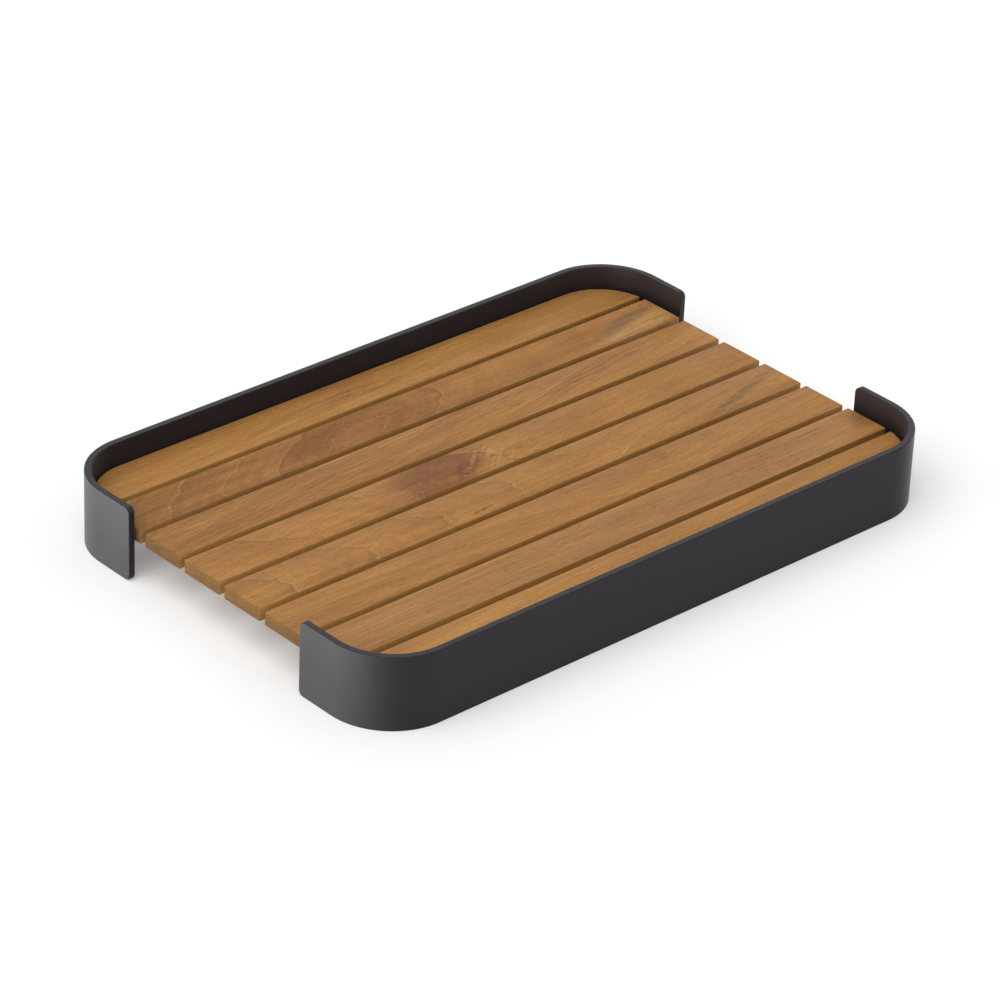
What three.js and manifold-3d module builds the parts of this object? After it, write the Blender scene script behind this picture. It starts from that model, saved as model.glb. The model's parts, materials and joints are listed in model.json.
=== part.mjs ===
// Outdoor serving tray: hardwood slats lying between two bent flat-bar rails.
// Millimetres, +Z up. X runs along the slats and Y across them, with the back rail at +Y.
// The origin is the middle of the footprint, on the surface that the rails stand on.
import * as THREE from 'three';
import { mergeVertices } from 'three/addons/utils/BufferGeometryUtils.js';
import Module from 'manifold-3d';

// Slats
const SLAT_COUNT = 8;
const SLAT_LENGTH = 583;
const SLAT_WIDTH = 43;
const SLAT_THICKNESS = 12;
const SLAT_GAP = 6;
const SLAT_EDGE_EASE = 2;

// Rails: a flat bar on edge, bent round two corners into a shallow C
const RAIL_THICKNESS = 6;
const RAIL_BEND_RADIUS = 58;
const RAIL_RETURN_STRAIGHT = 38;
const RAIL_END_CORNER_RADIUS = 5;

// Heights that make up the rail's height: fingers under the slats, the slats, and the rim above them
const FINGER_SPACE = 32.5;
const RIM_HEIGHT = 20.5;

// Clearances between the slats and the rails
const SIDE_CLEARANCE = 1;
const END_CLEARANCE = 2.5;

// Cross bars: flat bars under the slats, welded to the rails' inner faces
const CROSS_BAR_WIDTH = 30;
const CROSS_BAR_THICKNESS = 5;
const CROSS_BAR_SETBACK = 25;

// Countersunk screws, driven from below through a cross bar into a slat
const SCREW_HEAD_DIAMETER = 8;
const SCREW_HEAD_RIM = 0.5;
const SCREW_SHANK_DIAMETER = 4;
const SCREW_POINT_LENGTH = 3;
const SCREW_HEAD_RECESS = 0.2;
const SCREW_COVER = 3;
const SCREW_CLEARANCE = 0.35;

// Facets
const BEND_STEPS = 12;
const ROUND_STEPS = 4;
const EASE_STEPS = 2;
const SCREW_SIDES = 10;

// Finishes
const COAT = { color: 0x3b3c3d, roughness: 0.55, metalness: 0.2 };
const STEEL = { color: 0x9a9a98, roughness: 0.35, metalness: 1 };
const WOOD = { roughness: 0.6, metalness: 0 };
const SLAT_COLOURS = [0xb0804a, 0xa0714a, 0xaa7d4c, 0xa57849, 0xac7f4e, 0xad7f4c, 0xab7d4b, 0xb98a52];

// Sizes that follow from the ones above
const SLAT_PITCH = SLAT_WIDTH + SLAT_GAP;
const DECK_WIDTH = SLAT_COUNT * SLAT_PITCH - SLAT_GAP;
const INNER_WIDTH = DECK_WIDTH + 2 * SIDE_CLEARANCE;
const TRAY_WIDTH = INNER_WIDTH + 2 * RAIL_THICKNESS;
const TRAY_LENGTH = SLAT_LENGTH + 2 * (END_CLEARANCE + RAIL_THICKNESS);
const RAIL_HEIGHT = FINGER_SPACE + SLAT_THICKNESS + RIM_HEIGHT;
const CROSS_BAR_UNDERSIDE = FINGER_SPACE - CROSS_BAR_THICKNESS;
const BEND_START_X = TRAY_LENGTH / 2 - RAIL_BEND_RADIUS;
const OUTER_BAR_X = BEND_START_X - CROSS_BAR_SETBACK - CROSS_BAR_WIDTH / 2;
const CROSS_BAR_PLACES = { left: -OUTER_BAR_X, middle: 0, right: OUTER_BAR_X };
const SCREW_LENGTH = CROSS_BAR_THICKNESS + SLAT_THICKNESS - SCREW_COVER - SCREW_HEAD_RECESS;

const wasm = await Module();
wasm.setup();

// A closed mesh as a solid that can be cut: vertices merged, slivers at a lathe's poles dropped.
function toSolid(geometry) {
  const bare = geometry.clone();
  bare.deleteAttribute('normal');
  bare.deleteAttribute('uv');
  const merged = mergeVertices(bare);
  const index = merged.index.array;
  const triangles = [];
  for (let i = 0; i < index.length; i += 3) {
    const [a, b, c] = [index[i], index[i + 1], index[i + 2]];
    if (a !== b && b !== c && c !== a) triangles.push(a, b, c);
  }
  return new wasm.Manifold(new wasm.Mesh({
    numProp: 3,
    vertProperties: new Float32Array(merged.attributes.position.array),
    triVerts: new Uint32Array(triangles),
  }));
}

function toGeometry(solid) {
  const mesh = solid.getMesh();
  const geometry = new THREE.BufferGeometry();
  geometry.setAttribute('position', new THREE.BufferAttribute(new Float32Array(mesh.vertProperties), 3));
  geometry.setIndex(new THREE.BufferAttribute(new Uint32Array(mesh.triVerts), 1));
  geometry.computeVertexNormals();
  return geometry;
}

// A profile of [radius, height] pairs turned round the Z axis.
function turned(profile) {
  const points = profile.map(([radius, height]) => new THREE.Vector2(radius, height));
  return new THREE.LatheGeometry(points, SCREW_SIDES).rotateX(Math.PI / 2);
}

function namedMesh(name, geometry, finish) {
  const mesh = new THREE.Mesh(geometry, new THREE.MeshStandardMaterial(finish));
  mesh.name = name;
  return mesh;
}

function slatCentreY(number) {
  return ((SLAT_COUNT + 1) / 2 - number) * SLAT_PITCH;
}

// A screw with its head's face at height 0 and its point upwards, grown outwards by a clearance.
// The head's flank is at 45 degrees. The cutters for its holes are the same shape with a clearance.
function screwProfile(grow, foot) {
  const head = SCREW_HEAD_DIAMETER / 2 + grow;
  const shank = SCREW_SHANK_DIAMETER / 2 + grow;
  const flankTop = SCREW_HEAD_RIM + (SCREW_HEAD_DIAMETER - SCREW_SHANK_DIAMETER) / 2;
  const tip = SCREW_LENGTH + grow;
  return [
    [0, foot],
    [head, foot],
    [head, SCREW_HEAD_RIM],
    [shank, flankTop],
    [shank, tip - SCREW_POINT_LENGTH],
    [0, tip],
  ];
}

function screwHoleCutter() {
  return turned(screwProfile(SCREW_CLEARANCE, -SCREW_HEAD_RECESS - SCREW_CLEARANCE));
}

// The rail's plan, for the back rail: along its outer face first, then back along its inner face.
function railPlan() {
  const endX = TRAY_LENGTH / 2;
  const bendY = TRAY_WIDTH / 2 - RAIL_BEND_RADIUS;
  const returnY = bendY - RAIL_RETURN_STRAIGHT;
  const inner = RAIL_BEND_RADIUS - RAIL_THICKNESS;
  const plan = new THREE.Shape();
  plan.moveTo(endX, returnY);
  plan.absarc(BEND_START_X, bendY, RAIL_BEND_RADIUS, 0, Math.PI / 2, false);
  plan.absarc(-BEND_START_X, bendY, RAIL_BEND_RADIUS, Math.PI / 2, Math.PI, false);
  plan.lineTo(-endX, returnY);
  plan.lineTo(RAIL_THICKNESS - endX, returnY);
  plan.absarc(-BEND_START_X, bendY, inner, Math.PI, Math.PI / 2, true);
  plan.absarc(BEND_START_X, bendY, inner, Math.PI / 2, 0, true);
  plan.lineTo(endX - RAIL_THICKNESS, returnY);
  plan.closePath();
  return plan;
}

// The rail's side view, along X: full height, with the returns' free end rounded at top and bottom.
function railSideView() {
  const returnY = TRAY_WIDTH / 2 - RAIL_BEND_RADIUS - RAIL_RETURN_STRAIGHT;
  const r = RAIL_END_CORNER_RADIUS;
  const pastY = TRAY_WIDTH / 2 + RAIL_THICKNESS;
  const side = new THREE.Shape();
  side.moveTo(pastY, 0);
  side.lineTo(pastY, RAIL_HEIGHT);
  side.absarc(returnY + r, RAIL_HEIGHT - r, r, Math.PI / 2, Math.PI, false);
  side.absarc(returnY + r, r, r, Math.PI, 1.5 * Math.PI, false);
  side.closePath();
  return side;
}

// The rail is what its plan and its side view have in common.
function railGeometry() {
  const spare = RAIL_THICKNESS;
  const bar = new THREE.ExtrudeGeometry(railPlan(), {
    depth: RAIL_HEIGHT + 2 * spare,
    bevelEnabled: false,
    curveSegments: BEND_STEPS,
  }).translate(0, 0, -spare);
  const length = TRAY_LENGTH + 2 * spare;
  const alongX = new THREE.Matrix4().makeBasis(
    new THREE.Vector3(0, 1, 0),
    new THREE.Vector3(0, 0, 1),
    new THREE.Vector3(1, 0, 0),
  );
  const envelope = new THREE.ExtrudeGeometry(railSideView(), {
    depth: length,
    bevelEnabled: false,
    curveSegments: ROUND_STEPS,
  }).translate(0, 0, -length / 2).applyMatrix4(alongX);
  return toGeometry(toSolid(bar).intersect(toSolid(envelope)));
}

function makeRails() {
  const rails = new THREE.Group();
  const back = namedMesh('rail_back', railGeometry(), COAT);
  const front = namedMesh('rail_front', railGeometry(), COAT);
  front.rotation.z = Math.PI;
  rails.add(back, front);
  return rails;
}

// The deck's outline, as if the slats were one board: its corners follow the rails' bends.
function deckOutline() {
  const radius = RAIL_BEND_RADIUS - RAIL_THICKNESS - END_CLEARANCE;
  const bendX = SLAT_LENGTH / 2 - radius;
  const bendY = DECK_WIDTH / 2 - radius;
  const outline = new THREE.Shape();
  outline.absarc(bendX, bendY, radius, 0, Math.PI / 2, false);
  outline.absarc(-bendX, bendY, radius, Math.PI / 2, Math.PI, false);
  outline.absarc(-bendX, -bendY, radius, Math.PI, 1.5 * Math.PI, false);
  outline.absarc(bendX, -bendY, radius, 1.5 * Math.PI, 2 * Math.PI, false);
  outline.closePath();
  return outline;
}

// A slat's two long edges. It runs past the deck's ends, and an outer slat past the deck's side.
function stripOutline(number) {
  const spare = 2 * SLAT_EDGE_EASE;
  const reachX = SLAT_LENGTH / 2 + spare;
  const centreY = slatCentreY(number);
  const frontY = centreY - SLAT_WIDTH / 2 - (number === SLAT_COUNT ? spare : 0);
  const backY = centreY + SLAT_WIDTH / 2 + (number === 1 ? spare : 0);
  const outline = new THREE.Shape();
  outline.moveTo(-reachX, frontY);
  outline.lineTo(reachX, frontY);
  outline.lineTo(reachX, backY);
  outline.lineTo(-reachX, backY);
  outline.closePath();
  return outline;
}

// A board of the slats' thickness with eased upper and lower edges, standing on height 0.
function easedBoard(outline) {
  return new THREE.ExtrudeGeometry(outline, {
    depth: SLAT_THICKNESS - 2 * SLAT_EDGE_EASE,
    bevelEnabled: true,
    bevelThickness: SLAT_EDGE_EASE,
    bevelSize: SLAT_EDGE_EASE,
    bevelOffset: -SLAT_EDGE_EASE,
    bevelSegments: EASE_STEPS,
    curveSegments: BEND_STEPS,
  }).translate(0, 0, SLAT_EDGE_EASE);
}

// A slat is its strip of the deck, with a blind pilot hole over each cross bar.
function slatGeometry(number) {
  const centreY = slatCentreY(number);
  let solid = toSolid(easedBoard(deckOutline())).intersect(toSolid(easedBoard(stripOutline(number))));
  for (const x of Object.values(CROSS_BAR_PLACES)) {
    const cutter = screwHoleCutter().translate(x, centreY, SCREW_HEAD_RECESS - CROSS_BAR_THICKNESS);
    solid = solid.subtract(toSolid(cutter));
  }
  return toGeometry(solid).translate(0, -centreY, 0);
}

function makeSlats() {
  const slats = new THREE.Group();
  for (let number = 1; number <= SLAT_COUNT; number += 1) {
    const color = SLAT_COLOURS[(number - 1) % SLAT_COLOURS.length];
    const slat = namedMesh(`slat_${number}`, slatGeometry(number), { ...WOOD, color });
    slat.position.set(0, slatCentreY(number), FINGER_SPACE);
    slats.add(slat);
  }
  return slats;
}

// A screw goes through each cross bar into the middle of each slat.
function slatCentres() {
  return Array.from({ length: SLAT_COUNT }, (_, i) => slatCentreY(i + 1));
}

function crossBarGeometry() {
  const bar = new THREE.BoxGeometry(CROSS_BAR_WIDTH, INNER_WIDTH, CROSS_BAR_THICKNESS);
  bar.translate(0, 0, CROSS_BAR_THICKNESS / 2);
  let solid = toSolid(bar);
  for (const y of slatCentres()) {
    solid = solid.subtract(toSolid(screwHoleCutter().translate(0, y, SCREW_HEAD_RECESS)));
  }
  return toGeometry(solid);
}

function screwGeometry() {
  return turned(screwProfile(0, 0));
}

function makeCrossBars() {
  const bars = new THREE.Group();
  for (const [place, x] of Object.entries(CROSS_BAR_PLACES)) {
    const joint = new THREE.Group();
    joint.add(namedMesh(`cross_bar_${place}`, crossBarGeometry(), COAT));
    slatCentres().forEach((y, i) => {
      const screw = namedMesh(`screw_${place}_${i + 1}`, screwGeometry(), STEEL);
      screw.position.set(0, y, SCREW_HEAD_RECESS);
      joint.add(screw);
    });
    joint.position.set(x, 0, CROSS_BAR_UNDERSIDE);
    bars.add(joint);
  }
  return bars;
}

const tray = new THREE.Group();
tray.add(makeRails(), makeSlats(), makeCrossBars());

export default tray;
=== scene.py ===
# %% [markdown]
# # A slatted serving tray
# Eight oiled hardwood slats lie side by side between two flat bars, each bent round two corners and coated
# dark. The construction is already settled in the measured frame, so this lesson dresses it: it rebuilds
# each piece with the soft edges and the finish of the real one, in metres, exactly where the frame has it.

# %% Load the frame
import json
import math

import bmesh
import bpy
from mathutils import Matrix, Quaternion, Vector

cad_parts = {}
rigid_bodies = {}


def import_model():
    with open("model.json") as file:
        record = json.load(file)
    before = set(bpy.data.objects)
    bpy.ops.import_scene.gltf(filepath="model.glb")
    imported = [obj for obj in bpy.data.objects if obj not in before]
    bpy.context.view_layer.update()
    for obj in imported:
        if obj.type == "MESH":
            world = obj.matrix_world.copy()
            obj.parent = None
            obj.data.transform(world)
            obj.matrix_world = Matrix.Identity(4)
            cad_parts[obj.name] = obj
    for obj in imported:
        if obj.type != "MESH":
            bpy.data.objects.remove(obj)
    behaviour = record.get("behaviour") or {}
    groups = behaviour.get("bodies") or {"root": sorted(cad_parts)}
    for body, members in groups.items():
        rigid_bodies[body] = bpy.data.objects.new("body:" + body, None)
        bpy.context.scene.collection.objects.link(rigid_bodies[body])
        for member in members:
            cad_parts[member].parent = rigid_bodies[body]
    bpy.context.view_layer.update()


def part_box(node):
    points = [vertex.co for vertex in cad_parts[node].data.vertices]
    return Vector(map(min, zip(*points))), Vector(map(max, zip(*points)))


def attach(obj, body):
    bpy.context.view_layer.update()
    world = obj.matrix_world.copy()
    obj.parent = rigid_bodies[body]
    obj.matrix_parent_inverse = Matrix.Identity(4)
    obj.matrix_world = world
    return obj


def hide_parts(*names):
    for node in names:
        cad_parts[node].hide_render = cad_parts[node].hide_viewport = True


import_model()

# %% [markdown]
# ## Sizes
# Most sizes can be read off the frame: a node's box says where its piece begins and ends. The few that a box
# can't tell, such as a bend's radius, are written here once, in millimetres, as a maker would say them.

# %% Read the sizes
MM = 0.001
rail_low, rail_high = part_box("rail_back")
bar_low, bar_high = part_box("cross_bar_middle")
deck_low, deck_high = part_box("slat_1")

SLAT_NAMES = [f"slat_{number}" for number in range(1, 9)]
BAR_NAMES = ["left", "middle", "right"]
RAIL_THICKNESS = rail_high.y - bar_high.y
RAIL_HEIGHT = rail_high.z - rail_low.z
RAIL_BEND_RADIUS = 58 * MM
RAIL_END_CORNER = 5 * MM
RAIL_EDGE_EASE = 0.7 * MM
DECK_CORNER = 49.5 * MM
SLAT_EDGE_EASE = 0.9 * MM
print(f"rails {RAIL_THICKNESS / MM:.2f} mm thick and {RAIL_HEIGHT / MM:.1f} mm high")

# %% [markdown]
# ## Nodes and links
# Every node tree below is built by the script, so that each step can be read and changed. Two helpers do most
# of that work. One adds a node and puts it in the next free place, which keeps the tree readable in the node
# editor too. The other links a value to a socket, or sets a plain number on it.

# %% Nodes and links
ROWS_IN_COLUMN = 8
COLUMN_WIDTH = 210
ROW_HEIGHT = 190


def add_node(tree, kind, **settings):
    """Adds a node, sets it up and puts it in the next free place of a simple grid."""
    count = len(tree.nodes)
    made = tree.nodes.new(kind)
    made.location = (COLUMN_WIDTH * (count // ROWS_IN_COLUMN), -ROW_HEIGHT * (count % ROWS_IN_COLUMN))
    for name, value in settings.items():
        setattr(made, name, value)
    return made


def plug(tree, value, socket):
    """Links a term to a socket, or sets a plain value on it."""
    if isinstance(value, Term):
        tree.links.new(value.socket, socket)
    else:
        socket.default_value = value


print("places for nodes:", COLUMN_WIDTH, "by", ROW_HEIGHT)

# %% [markdown]
# ## Writing sums as sums
# A long formula is hard to read as a list of Math nodes and links. A small class helps: a Term stands for one
# value in a tree, and writing `a * b + c` between terms adds the nodes. The same class serves the shader trees
# and the Geometry Nodes trees, because both use the same Math node.

# %% Terms
class Term:
    """One value in a node tree. Arithmetic between terms adds Math nodes."""

    def __init__(self, tree, socket):
        self.tree = tree
        self.socket = socket

    def math(self, operation, *others):
        step = add_node(self.tree, "ShaderNodeMath", operation=operation)
        for place, value in enumerate((self, *others)):
            plug(self.tree, value, step.inputs[place])
        return Term(self.tree, step.outputs[0])

    def __add__(self, other):
        return self.math("ADD", other)

    def __mul__(self, other):
        return self.math("MULTIPLY", other)

    def __sub__(self, other):
        return self.math("SUBTRACT", other)

    def __truediv__(self, other):
        return self.math("DIVIDE", other)

    def __rsub__(self, other):
        return self.math("MULTIPLY_ADD", -1.0, other)

    __radd__ = __add__
    __rmul__ = __mul__

    def split(self):
        """The x, y and z terms of a vector."""
        step = add_node(self.tree, "ShaderNodeSeparateXYZ")
        plug(self.tree, self, step.inputs[0])
        return [Term(self.tree, output) for output in step.outputs]


print("terms add, subtract, multiply and divide")

# %% [markdown]
# ## Vectors and smooth steps
# Two more steps are needed all the time. One puts three terms together as a place or a direction. The other
# turns a value into a soft yes or no: below one number it is off, above another it is on, and between them it
# goes over smoothly, as the rim of a stain or the end of a bend does.

# %% Vectors and smooth steps
def vector(tree, x, y, z):
    """A vector from three terms or numbers."""
    step = add_node(tree, "ShaderNodeCombineXYZ")
    for value, socket in zip((x, y, z), step.inputs):
        plug(tree, value, socket)
    return Term(tree, step.outputs[0])


def ramp(value, low, high, start=0.0, end=1.0):
    """A smooth step: start below low, end above high."""
    step = add_node(value.tree, "ShaderNodeMapRange", interpolation_type="SMOOTHSTEP")
    for number, socket in zip((value, low, high, start, end), step.inputs):
        plug(value.tree, number, socket)
    return Term(value.tree, step.outputs["Result"])


print("vectors and smooth steps ready")

# %% [markdown]
# ## Colours and noise
# Every pattern below is a noise stretched to a real size. `cloud` takes a place in millimetres and the length
# of one blotch along each axis, so a fibre can be written as 40 mm long and 0.8 mm wide. Its value swings
# about zero. `mix` blends two colours, and `paint` turns an everyday screen colour into the linear one that
# Blender's sockets expect.

# %% Colours and noise
MIX_COLOURS = {"factor": 0, "first": 6, "second": 7, "result": 2}


def paint(red, green, blue):
    """A screen colour, 0 to 255, as the linear colour with alpha that a shader socket takes."""
    def linear(level):
        share = level / 255
        return share / 12.92 if share <= 0.04045 else ((share + 0.055) / 1.055) ** 2.4
    return (linear(red), linear(green), linear(blue), 1.0)


def cloud(place, sizes, detail=2.0, roughness=0.5):
    """Noise about zero, from -0.5 to 0.5. place is three terms in mm, sizes are in mm along each."""
    tree = place[0].tree
    scaled = [term * (1 / size) for term, size in zip(place, sizes)]
    noise = add_node(tree, "ShaderNodeTexNoise")
    plug(tree, vector(tree, *scaled), noise.inputs["Vector"])
    plug(tree, 1.0, noise.inputs["Scale"])
    plug(tree, detail, noise.inputs["Detail"])
    plug(tree, roughness, noise.inputs["Roughness"])
    return Term(tree, noise.outputs["Fac"]) - 0.5


def spots(place, sizes, low, high, detail=2.0):
    """Noise as spots: 0 where it stays under low, 1 where it rises over high."""
    return ramp(cloud(place, sizes, detail), low, high)


def mix(factor, first, second):
    """Blends two colours: the first at factor 0, the second at factor 1."""
    step = add_node(factor.tree, "ShaderNodeMix", data_type="RGBA", clamp_factor=True)
    for name, value in (("factor", factor), ("first", first), ("second", second)):
        plug(factor.tree, value, step.inputs[MIX_COLOURS[name]])
    return Term(factor.tree, step.outputs[MIX_COLOURS["result"]])


def shade(colour, amount):
    """Makes a colour lighter or darker by a factor."""
    step = add_node(colour.tree, "ShaderNodeVectorMath", operation="SCALE")
    plug(colour.tree, colour, step.inputs[0])
    plug(colour.tree, amount, step.inputs["Scale"])
    return Term(colour.tree, step.outputs[0])


print("colour blends and noise ready")

# %% [markdown]
# ## Starting a finish
# A finish has to know where on the tray a point lies. Object coordinates say so, and since every piece stays
# at the origin, they are the tray's own. What belongs to one board alone comes as an attribute of its mesh.
# A value that is the same all over is set on the shader's own socket, and only what varies gets nodes.

# %% Places, attributes and new finishes
def place_in_mm(tree):
    """The Object coordinates as x, y and z terms in millimetres."""
    coordinates = add_node(tree, "ShaderNodeTexCoord")
    return [axis * (1 / MM) for axis in Term(tree, coordinates.outputs["Object"]).split()]


def attribute(tree, name):
    """The three values that each board carries under a name."""
    read = add_node(tree, "ShaderNodeAttribute", attribute_name=name)
    return Term(tree, read.outputs["Vector"]).split()


def new_finish(name, **plain_values):
    """A material with a Principled shader. Values that are the same all over go on its own sockets."""
    material = bpy.data.materials.new(name)
    material.use_nodes = True
    shader = material.node_tree.nodes["Principled BSDF"]
    for socket, value in plain_values.items():
        shader.inputs[socket.replace("_", " ")].default_value = value
    return material, material.node_tree, shader


def bump(tree, shader, height, distance):
    """Lets a pattern raise the surface by a distance in metres."""
    step = add_node(tree, "ShaderNodeBump")
    plug(tree, distance, step.inputs["Distance"])
    plug(tree, height, step.inputs["Height"])
    tree.links.new(step.outputs["Normal"], shader.inputs["Normal"])


print("ready to mix finishes")

# %% [markdown]
# ## Marks that every surface has
# No real surface is even. Wood, coat and steel all have soft patches where they are a little more or less
# shiny, and a fine pebble that breaks up reflections. Both are shader node groups with a size as their input,
# built once and placed in each material with values of its own.

# %% Shared shader groups
PATCH_DETAIL = 3.0
PEBBLE_DETAIL = 1.0


def noise_group(name, output, detail):
    """A node group with one input, the size of its blotches in mm, and one output about zero."""
    group = bpy.data.node_groups.new(name, "ShaderNodeTree")
    group.interface.new_socket("Size", in_out="INPUT", socket_type="NodeSocketFloat")
    group.interface.new_socket(output, in_out="OUTPUT", socket_type="NodeSocketFloat")
    entry = add_node(group, "NodeGroupInput")
    leave = add_node(group, "NodeGroupOutput")
    size = Term(group, entry.outputs["Size"])
    place = [axis / size for axis in place_in_mm(group)]
    plug(group, cloud(place, (1, 1, 1), detail), leave.inputs[output])
    return group


soft_patches = noise_group("soft_patches", "Patches", PATCH_DETAIL)
fine_pebble = noise_group("fine_pebble", "Pebble", PEBBLE_DETAIL)


def use_group(tree, group, size):
    """A group's value in a tree, with its blotches at a size in mm."""
    step = add_node(tree, "ShaderNodeGroup", node_tree=group)
    step.inputs["Size"].default_value = size
    return Term(tree, step.outputs[0])


print("groups:", soft_patches.name, fine_pebble.name)

# %% [markdown]
# ## Oiled teak: how a board gets its figure
# A trunk grows in layers, and a board cut along it slices those layers. Where the layers stand upright in the
# board its face shows straight lines. Where they lie almost flat, the face shows them as contour lines on a
# map: long arches, hooks and closed eyes. So the finish first works out, for any point in the wood, how many
# millimetres of growth lie between it and the heart. Each board carries a few numbers for that: how the
# layers lean, and where they rise to an eye. Everything is worked out in three dimensions, so the same layers
# run on over the edges and show as thin lines on the sawn ends.

# %% Growth layers
RING_SPACING = 5.0
WANDER_SIZE = (120, 36, 36)
WANDER_DEPTH = 2.6
WOBBLE_SIZE = (28, 12, 12)
WOBBLE_DEPTH = 1.3
JAG_SIZE = (8, 2.6, 2.6)
JAG_DEPTH = 0.34
EYE_CORE = 9.0
EYE_MEETING = 3.0


def eye_distance(u, v, eye, shape):
    """Distance from an eye in mm, longer across the board than along it, with a rounded middle."""
    along = u - eye[0]
    across = (v - eye[1] - along * shape[1]) * shape[0]
    return (along * along + across * across + EYE_CORE ** 2).math("SQRT")


def growth_depth(tree, u, v, w, y, z):
    """Millimetres of growth from the heart to a point of the board: u, v, w on it, y and z in the tray."""
    lean = attribute(tree, "layer_lean")
    first = attribute(tree, "first_eye")
    second = attribute(tree, "second_eye")
    shape = attribute(tree, "eye_shape")
    flat = lean[0] * u + lean[1] * v + lean[2] * w
    near = eye_distance(u, v, first, shape) * first[2]
    far = eye_distance(u, v, second, shape) * second[2] + shape[2]
    wander = cloud((u, y, z), WANDER_SIZE, 1.5) * WANDER_DEPTH
    wobble = cloud((u, y, z), WOBBLE_SIZE, 1.0) * WOBBLE_DEPTH * lean[2]
    jag = cloud((u, y, z), JAG_SIZE, 2.0) * JAG_DEPTH
    return flat + near.math("SMOOTH_MIN", far, EYE_MEETING) + wander + wobble + jag


print(f"growth layers every {RING_SPACING} mm")

# %% [markdown]
# ## Oiled teak: marks
# A board may also have marks of its own: a red-brown stain or a dark heart near a knot, a grey smudge, an
# amber or pale patch, a cluster of thin dark flecks, or pale slanting strokes. The grey smudge also serves as
# painted shade: on one board it darkens the end that the rail's return shades. Each is an oval with a soft,
# uneven rim. The board carries its middle and strength, and its two reaches and turn, so that one finish can
# mark every board in a way of its own. Each kind has a colour, and a texture that breaks it up: how even it
# is, and how much of which pattern of the grain shows in it.

# %% Marks on a board
MARKS = {
    "red_stain": (paint(128, 80, 46), 0.8, {"mottle": 1.6, "band": 0.8, "tone": 1.0}),
    "dark_heart": (paint(84, 52, 34), 0.7, {"mottle": 3.0}),
    # A real grey smudge on some boards; on slat 7 the same mark is painted shade next to the rail's return.
    "grey_smudge": (paint(92, 76, 54), 0.8, {"streak": 3.0}),
    "amber_patch": (paint(154, 92, 42), 0.8, {"fibre": 2.0}),
    "dark_flecks": (paint(62, 46, 40), 0.0, {"flecks": 1.0}),
    "pale_patch": (paint(188, 150, 100), 0.7, {"fibre": 2.0, "streak": 2.0}),
    "pale_strokes": (paint(206, 160, 104), 0.0, {"strokes": 1.0}),
}
RIM_UNEVEN = 1.6


def turned_place(along, across, turn):
    """The same place along and across a line that is turned by an angle, in radians or as a term."""
    if isinstance(turn, Term):
        cosine, sine = turn.math("COSINE"), turn.math("SINE")
    else:
        cosine, sine = math.cos(turn), math.sin(turn)
    return along * cosine + across * sine, across * cosine - along * sine


def soft_mark(tree, u, v, name, uneven):
    """How strong a mark is at a place of the board, from 0 to its strength."""
    middle = attribute(tree, name)
    shape = attribute(tree, name + "_shape")
    along, across = turned_place(u - middle[0], v - middle[1], shape[2])
    along = along / shape[0]
    across = across / shape[1]
    off = (along * along + across * across) * (uneven * RIM_UNEVEN + 1.0)
    return (off * off * -1.0).math("EXPONENT") * middle[2]


print("kinds of marks:", ", ".join(MARKS))

# %% [markdown]
# ## Oiled teak: the lines of the layers
# Each year's layer starts with a thin pale vein of open pores, goes on light, and ends in a darker seam. No two
# years are alike, so each layer draws a chance number that makes it bolder or fainter, darker or lighter. The
# draw starts from a seed that the board carries, so every board differs and yet stays as it is. Veins come
# and go in patches, and a board can say where along it the last ones fade.

# %% Lines of the layers
VEIN_LINES = ((0.025, 1.0), (0.085, 0.35))
VEIN_WIDTH = 0.024
VEIN_FADE = 20
VEIN_SPECKLES = ((3.2, 1.5, 1.5), -0.12, 0.10)
VEIN_PATCHES = ((60, 20, 20), -0.24, 0.02)
VEINS_ON_UPRIGHT = 0.3
FAINTEST_VEIN = 0.5
FIGURE_SIZE = (0.14, 220, 40)
SEAM_PLACE = (0.92, 0.985)
LATE_PLACE = (0.15, 1.0)
LAYERS_ON_UPRIGHT = 0.4


def by_flatness(flatness, upright, flat=1.0):
    """One value where the layers stand upright in the board, another where they lie flat."""
    return flatness * (flat - upright) + upright


def layer_chance(tree, layer, seed):
    """A chance number from 0 to 1 for each whole layer, drawn from the board's seed."""
    chance = add_node(tree, "ShaderNodeTexWhiteNoise", noise_dimensions="1D")
    plug(tree, layer + seed, chance.inputs["W"])
    return Term(tree, chance.outputs["Value"])


def layer_lines(tree, u, v, y, z, growth):
    """What shows of the layers, by name. Tone and figure swing about zero, the rest goes from 0 to 1."""
    flatness = attribute(tree, "layer_lean")[2]
    _, last_vein, seed = attribute(tree, "grain_slant")
    layer = growth.math("FLOOR")
    share = growth - layer
    odds = layer_chance(tree, layer, seed)
    bold = ramp(odds, 0.0, 1.0, FAINTEST_VEIN, 1.0) * by_flatness(flatness, VEINS_ON_UPRIGHT)
    spread = by_flatness(flatness, LAYERS_ON_UPRIGHT)
    veined = ramp(u - last_vein, -VEIN_FADE, VEIN_FADE, 1.0, 0.0)
    patchy = spots((u, y, z), *VEIN_PATCHES) * veined
    lines = [ramp((share - place).math("ABSOLUTE"), 0.0, VEIN_WIDTH, strength, 0.0)
             for place, strength in VEIN_LINES]
    return {
        "tone": (odds - 0.5) * flatness,
        "vein": lines[0].math("MAXIMUM", lines[1]) * spots((u, y, z), *VEIN_SPECKLES) * patchy * bold,
        "seam": ramp(share, *SEAM_PLACE) * patchy * bold,
        "late": ramp(share, *LATE_PLACE) * spread,
        "figure": cloud((growth, u, v), FIGURE_SIZE) * spread * veined,
    }


print("a layer shows", len(VEIN_LINES), "vein lines and one seam")

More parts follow.
